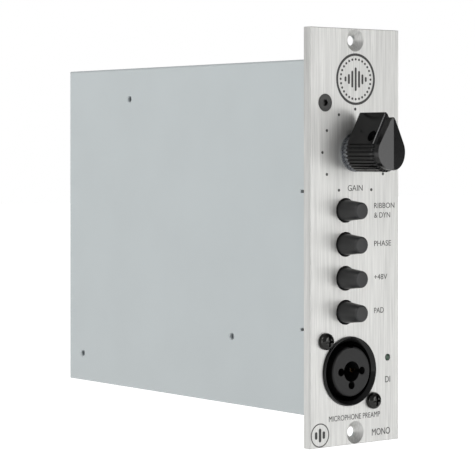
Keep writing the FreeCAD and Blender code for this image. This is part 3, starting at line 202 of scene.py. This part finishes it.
def moulded(name, base, roughness, grain_size=0.4 * MM, relief=0.008 * MM, coat=0.0, specular=0.5):
    """Moulded plastic: slight colour drift, fine surface texture and, if polished, a clear coat."""
    look = Look(name, base, roughness, Coat_Weight=coat, Coat_Roughness=0.06, Specular_IOR_Level=specular)
    drift = look.noise(6 * MM, detail=2.0)
    grain = look.noise(grain_size, detail=3.0)
    tone = look.spread(drift, 0.0, 1.0)
    look.colour(look.blend(tone, scaled(base, 0.88), scaled(base, 1.12)))
    look.roughness(look.spread(grain, roughness * 0.85, roughness * 1.2))
    look.bump(grain, relief, 0.35)
    return look.material


def circuit_board():
    """Solder resist over fine copper tracks, with a woven glass hint."""
    resist = (0.016, 0.115, 0.045)
    finger_pitch = 3.96 * MM
    look = Look("board_green", resist, 0.32, Coat_Weight=0.4, Coat_Roughness=0.15)
    weave = look.noise(0.5 * MM, detail=1.0)
    wave = look.tree.nodes.new("ShaderNodeTexWave")
    wave.wave_type = "BANDS"
    wave.bands_direction = "Z"
    wave.inputs["Scale"].default_value = WAVE_PERIOD / finger_pitch
    wave.inputs["Distortion"].default_value = 1.2
    look.link(look.stretched((1, 0.2, 1)), wave.inputs["Vector"])
    tracks = look.range(wave.outputs["Fac"], 0.78, 0.84, 0.0, 1.0)
    tone = look.blend(weave, scaled(resist, 0.8), scaled(resist, 1.15))
    look.colour(look.blend(tracks, tone, scaled(resist, 1.9)))
    look.bump(tracks, 0.03 * MM, 0.6)
    return look.material


def ink():
    """Screen-printed legend ink."""
    look = Look("legend_ink", (0.045, 0.044, 0.043), 0.55)
    grain = look.noise(0.12 * MM, detail=2.0)
    look.colour(look.blend(grain, (0.03, 0.03, 0.03), (0.065, 0.063, 0.061)))
    look.roughness(look.spread(grain, 0.45, 0.65))
    return look.material


def lamp_lens():
    """An unlit green lens, dark and clear at its surface."""
    base = (0.008, 0.045, 0.018)
    look = Look("lamp_green", base, 0.18, Coat_Weight=0.4, Coat_Roughness=0.05)
    depth = look.noise(0.8 * MM, detail=1.0)
    look.colour(look.blend(depth, scaled(base, 0.75), scaled(base, 1.4)))
    look.roughness(look.spread(depth, 0.14, 0.24))
    return look.material


MATERIALS = {
    "brushed_panel": brushed_panel(),
    "case_paint": painted_case(),
    "zinc_steel": plain_metal("zinc_steel", (0.30, 0.31, 0.325), 0.26),
    "black_oxide": plain_metal("black_oxide", (0.05, 0.05, 0.048), 0.18),
    "blued_steel": plain_metal("blued_steel", (0.085, 0.085, 0.083), 0.4),
    "knob_black": moulded("knob_black", (0.004, 0.004, 0.0042), 0.16, relief=0.002 * MM, specular=0.43),
    "cap_black": moulded("cap_black", (0.023, 0.0235, 0.024), 0.34),
    "socket_black": moulded("socket_black", (0.006, 0.006, 0.006), 0.15, relief=0.002 * MM,
                            specular=0.35),
    "socket_core": moulded("socket_core", (0.006, 0.006, 0.006), 0.42, specular=0.4),
    "switch_plastic": moulded("switch_plastic", (0.05, 0.05, 0.055), 0.45),
    "white_plastic": moulded("white_plastic", (0.72, 0.70, 0.62), 0.4),
    "board_green": circuit_board(),
    "gold_contact": plain_metal("gold_contact", (0.83, 0.58, 0.21), 0.22),
    # contact_bronze is much darker than bare bronze: its colour holds painted shade for the contacts
    # sitting deep in the socket holes
    "contact_bronze": plain_metal("contact_bronze", (0.16, 0.09, 0.035), 0.4),
    "brass_turned": plain_metal("brass_turned", (0.70, 0.52, 0.25), 0.28),
    "tinned_pin": plain_metal("tinned_pin", (0.66, 0.66, 0.65), 0.3),
    "lamp_green": lamp_lens(),
    "core_steel": plain_metal("core_steel", (0.22, 0.22, 0.23), 0.45, 0.35 * MM, (0.05, 1, 0.05)),
    "can_metal": plain_metal("can_metal", (0.55, 0.55, 0.53), 0.32),
    "winding_tape": moulded("winding_tape", (0.62, 0.42, 0.06), 0.35),
    "cable_grey": moulded("cable_grey", (0.32, 0.32, 0.33), 0.5),
    "resistor_blue": moulded("resistor_blue", (0.12, 0.28, 0.42), 0.35),
    "capacitor_sleeve": moulded("capacitor_sleeve", (0.02, 0.02, 0.05), 0.25, coat=0.4),
    "film_red": moulded("film_red", (0.42, 0.03, 0.02), 0.28, coat=0.5),
    "trimmer_blue": moulded("trimmer_blue", (0.02, 0.07, 0.35), 0.35),
}
INK_MATERIAL = ink()


def dress_nodes():
    """Every CAD node gets its slot's material."""
    for part in frame["record"]["subparts"]:
        node = frame["nodes"][part["node"]]
        node.data.materials.clear()
        node.data.materials.append(MATERIALS[part["material_slot"]])


# ================================================================ mesh helpers

def add_piece(name, mesh, material, body=ROOT):
    piece = bpy.data.objects.new(name, mesh)
    bpy.context.scene.collection.objects.link(piece)
    mesh.materials.append(material)
    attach(piece, body)
    return piece


def flat_shape(name, outlines):
    """A thin printed mesh on the panel. Each outline has an outer loop of (x, z) points, and an inner
    loop or None.
    """
    build = bmesh.new()
    for outer, inner in outlines:
        if inner is None:
            front = [build.verts.new((x, PANEL_FACE - INK, z)) for x, z in outer]
            back = [build.verts.new((x, PANEL_FACE, z)) for x, z in outer]
            build.faces.new(front)
            build.faces.new(back[::-1])
            for k in range(len(outer)):
                m = (k + 1) % len(outer)
                build.faces.new((front[m], front[k], back[k], back[m]))
            continue
        rings = []
        for loop in (outer, inner):
            for y in (PANEL_FACE - INK, PANEL_FACE):
                rings.append([build.verts.new((x, y, z)) for x, z in loop])
        front_out, back_out, front_in, back_in = rings
        for k in range(len(outer)):
            m = (k + 1) % len(outer)
            build.faces.new((front_out[k], front_out[m], front_in[m], front_in[k]))
            build.faces.new((back_out[m], back_out[k], back_in[k], back_in[m]))
            build.faces.new((front_out[m], front_out[k], back_out[k], back_out[m]))
            build.faces.new((front_in[k], front_in[m], back_in[m], back_in[k]))
    bmesh.ops.recalc_face_normals(build, faces=build.faces)
    mesh = bpy.data.meshes.new(name)
    build.to_mesh(mesh)
    build.free()
    return mesh


def circle(x, z, radius, steps=64):
    points = []
    for k in range(steps):
        angle = 2 * math.pi * k / steps
        points.append((x + radius * math.sin(angle), z + radius * math.cos(angle)))
    return points


def ring(x, z, outer, inner, steps=96):
    return circle(x, z, outer, steps), circle(x, z, inner, steps)


def bar(x, z, width, height):
    """An upright bar with rounded ends."""
    radius = width / 2
    steps = 8
    points = []
    for end in (1, -1):
        for k in range(steps + 1):
            angle = math.pi * k / steps - math.pi / 2
            points.append((x + end * radius * math.sin(angle),
                           z + end * (height / 2 - radius) + end * radius * math.cos(angle)))
    return points, None


# ================================================================ printed legend

def lettering(name, words, height, width, z, left=None, centre=None):
    """One line of capitals on the panel, fitted to a height and a width."""
    curve = bpy.data.curves.new(name, "FONT")
    curve.body = words
    curve.extrude = 0.5
    curve.resolution_u = 4
    maker = bpy.data.objects.new(name + "_maker", curve)
    bpy.context.scene.collection.objects.link(maker)
    bpy.context.view_layer.update()
    mesh = bpy.data.meshes.new_from_object(maker.evaluated_get(bpy.context.evaluated_depsgraph_get()))
    bpy.data.objects.remove(maker)
    mesh.name = name
    low = Vector(min(v.co[k] for v in mesh.vertices) for k in range(3))
    high = Vector(max(v.co[k] for v in mesh.vertices) for k in range(3))
    start = left if centre is None else centre - width / 2
    for vertex in mesh.vertices:
        across = (vertex.co.x - low.x) / (high.x - low.x)
        up = (vertex.co.y - low.y) / (high.y - low.y)
        out = (vertex.co.z - low.z) / (high.z - low.z)
        vertex.co = Vector((start + across * width, PANEL_FACE - out * INK, z + (up - 0.5) * height))
    return add_piece(name, mesh, INK_MATERIAL)


def legends():
    lettering("legend_gain", "GAIN", 1.9 * MM, 6.4 * MM, 15.5 * MM, centre=0.0)
    for name, words, width, z in (
        ("legend_ribbon", "RIBBON", 8.9, 9.7),
        ("legend_dynamic", "& DYN", 7.0, 6.6),
        ("legend_phase", "PHASE", 7.4, -2.55),
        ("legend_phantom", "+48V", 5.7, -13.4),
        ("legend_pad", "PAD", 4.2, -24.2),
    ):
        lettering(name, words, LABEL_HEIGHT, width * MM, z * MM, left=LABEL_LEFT)
    lettering("legend_direct", "DI", 2.0 * MM, 2.2 * MM, -46.8 * MM, centre=LED_X)
    lettering("legend_foot", "MICROPHONE PREAMP", LABEL_HEIGHT, 21.9 * MM, -57.8 * MM, centre=-0.2 * MM)
    lettering("legend_channel", "MONO", 2.2 * MM, 7.9 * MM, -63.5 * MM, left=7.25 * MM)


def gain_marks():
    """Eleven dots round the knob, one for each step."""
    marks = []
    for k in range(GAIN_STEPS):
        angle = math.radians(GAIN_FIRST_DEG + GAIN_STEP_DEG * k)
        x = DOT_CIRCLE * math.sin(angle)
        z = DOT_CENTRE_Z + DOT_CIRCLE * math.cos(angle)
        marks.append((circle(x, z, DOT_RADIUS, 24), None))
    add_piece("legend_gain_dots", flat_shape("legend_gain_dots", marks), INK_MATERIAL)


def head_emblem():
    """A plain ring with a row of level bars and a dotted border: a generic sound mark."""
    x, z = 0.2 * MM, 50.4 * MM
    bar_width = 0.8 * MM
    bar_pitch = 1.45 * MM
    dots = 28
    dot_circle = 6.4 * MM
    dot_radius = 0.4 * MM
    shapes = [ring(x, z, 8.3 * MM, 7.5 * MM)]
    for k, height in enumerate((1.6, 3.2, 5.4, 7.6, 5.4, 3.2, 1.6)):
        shapes.append(bar(x + (k - 3) * bar_pitch, z, bar_width, height * MM))
    for centre in circle(x, z, dot_circle, dots):
        shapes.append((circle(*centre, dot_radius, 16), None))
    add_piece("legend_head_emblem", flat_shape("legend_head_emblem", shapes), INK_MATERIAL)


def foot_emblem():
    """A thin ring round three bars."""
    x, z = -14.9 * MM, -62.6 * MM
    bar_width = 1.0 * MM
    bar_pitch = 1.6 * MM
    shapes = [ring(x, z, 3.8 * MM, 3.45 * MM)]
    for k, height in enumerate((2.4, 4.4, 2.4)):
        shapes.append(bar(x + (k - 1) * bar_pitch, z, bar_width, height * MM))
    add_piece("legend_foot_emblem", flat_shape("legend_foot_emblem", shapes), INK_MATERIAL)


# ================================================================ stage, light and camera

def stage():
    """A pale floor that glows: its emission is faint near the part and stronger further out, so that it
    fades into the backdrop.
    """
    floor_z = PANEL_LOW[2] - FLOOR_DROP
    corners = ((-1, -1), (1, -1), (1, 1), (-1, 1))
    mesh = bpy.data.meshes.new("floor")
    mesh.from_pydata([(x * FLOOR_SIDE, y * FLOOR_SIDE, floor_z) for x, y in corners], [], [(0, 1, 2, 3)])
    floor = bpy.data.objects.new("floor", mesh)
    bpy.context.scene.collection.objects.link(floor)
    look = Look("floor", (0.9, 0.9, 0.9), 0.9, Emission_Color=(1.0, 1.0, 1.0, 1.0))
    away = look.tree.nodes.new("ShaderNodeVectorMath")
    away.operation = "DISTANCE"
    away.inputs[1].default_value = (-0.25, -0.32, floor_z)
    look.link(look.place, away.inputs[0])
    # Emission, not paint: the floor glows from 0.3 near the part up to 0.95 far away
    glow = look.range(away.outputs["Value"], 0.45, 1.0, 0.3, 0.95)
    look.link(glow, look.shader.inputs["Emission Strength"])
    mesh.materials.append(look.material)


def area_light(name, place, aim, width, height, radiance):
    """A softbox given by what it looks like: its size and how bright its face is."""
    data = bpy.data.lights.new(name, "AREA")
    data.shape = "RECTANGLE"
    data.size = width
    data.size_y = height
    data.energy = radiance * math.pi * width * height
    light = bpy.data.objects.new(name, data)
    light.location = place
    light.rotation_euler = (Vector(aim) - Vector(place)).to_track_quat("-Z", "Y").to_euler()
    bpy.context.scene.collection.objects.link(light)


def around(bearing, distance, height):
    """A place at a bearing in degrees to the right of straight in front."""
    angle = math.radians(bearing)
    return (distance * math.sin(angle), -distance * math.cos(angle), height)


def lights():
    """Each row holds a light's bearing, distance, height, face width, face height and radiance."""
    aim = (0, 0.02, 0)
    for name, bearing, distance, height, wide, tall, radiance in (
        ("key_softbox", 18, 1.3, 0.12, 0.62, 1.0, 2.95),
        ("left_softbox", -104, 1.1, 1.0, 0.55, 0.55, 5.2),
        ("left_strip", -88, 1.0, 0.1, 0.16, 0.5, 4.0),
        ("top_softbox", 100, 0.55, 1.2, 0.6, 0.6, 1.6),
    ):
        area_light(name, around(bearing, distance, height), aim, wide, tall, radiance)


def backdrop():
    """A white surround that lights the part a little more from the left than from the right."""
    world = bpy.data.worlds.new("studio")
    bpy.context.scene.world = world
    world.use_nodes = True
    tree = world.node_tree
    background = tree.nodes["Background"]
    background.inputs["Color"].default_value = (1, 1, 1, 1)
    direction = tree.nodes.new("ShaderNodeTexCoord")
    parts = tree.nodes.new("ShaderNodeSeparateXYZ")
    tree.links.new(direction.outputs["Generated"], parts.inputs["Vector"])
    side = tree.nodes.new("ShaderNodeMapRange")
    side.interpolation_type = "SMOOTHSTEP"
    for socket, number in zip(RANGE_SOCKETS, (-0.7, 0.8, 0.36, 0.1)):
        side.inputs[socket].default_value = number
    tree.links.new(parts.outputs["X"], side.inputs["Value"])
    path = tree.nodes.new("ShaderNodeLightPath")
    strength = tree.nodes.new("ShaderNodeMix")
    strength.inputs["B"].default_value = 1.0
    tree.links.new(side.outputs["Result"], strength.inputs["A"])
    tree.links.new(path.outputs["Is Camera Ray"], strength.inputs["Factor"])
    tree.links.new(strength.outputs["Result"], background.inputs["Strength"])


def camera():
    """At the height of the gain knob's foot, to the front left, level, with the frame shifted down."""
    data = bpy.data.cameras.new("camera")
    data.lens = 152.86
    data.sensor_width = 36.0
    data.shift_y = -0.1891
    data.clip_start = 0.01
    view = bpy.data.objects.new("camera", data)
    view.location = (-0.4319, -0.4863, 0.02843)
    view.rotation_euler = (math.radians(90), 0, math.radians(-38.446))
    bpy.context.scene.collection.objects.link(view)
    bpy.context.scene.camera = view


dress_nodes()
legends()
gain_marks()
head_emblem()
foot_emblem()
stage()
lights()
backdrop()
camera()
bpy.context.scene.view_settings.view_transform = "Standard"
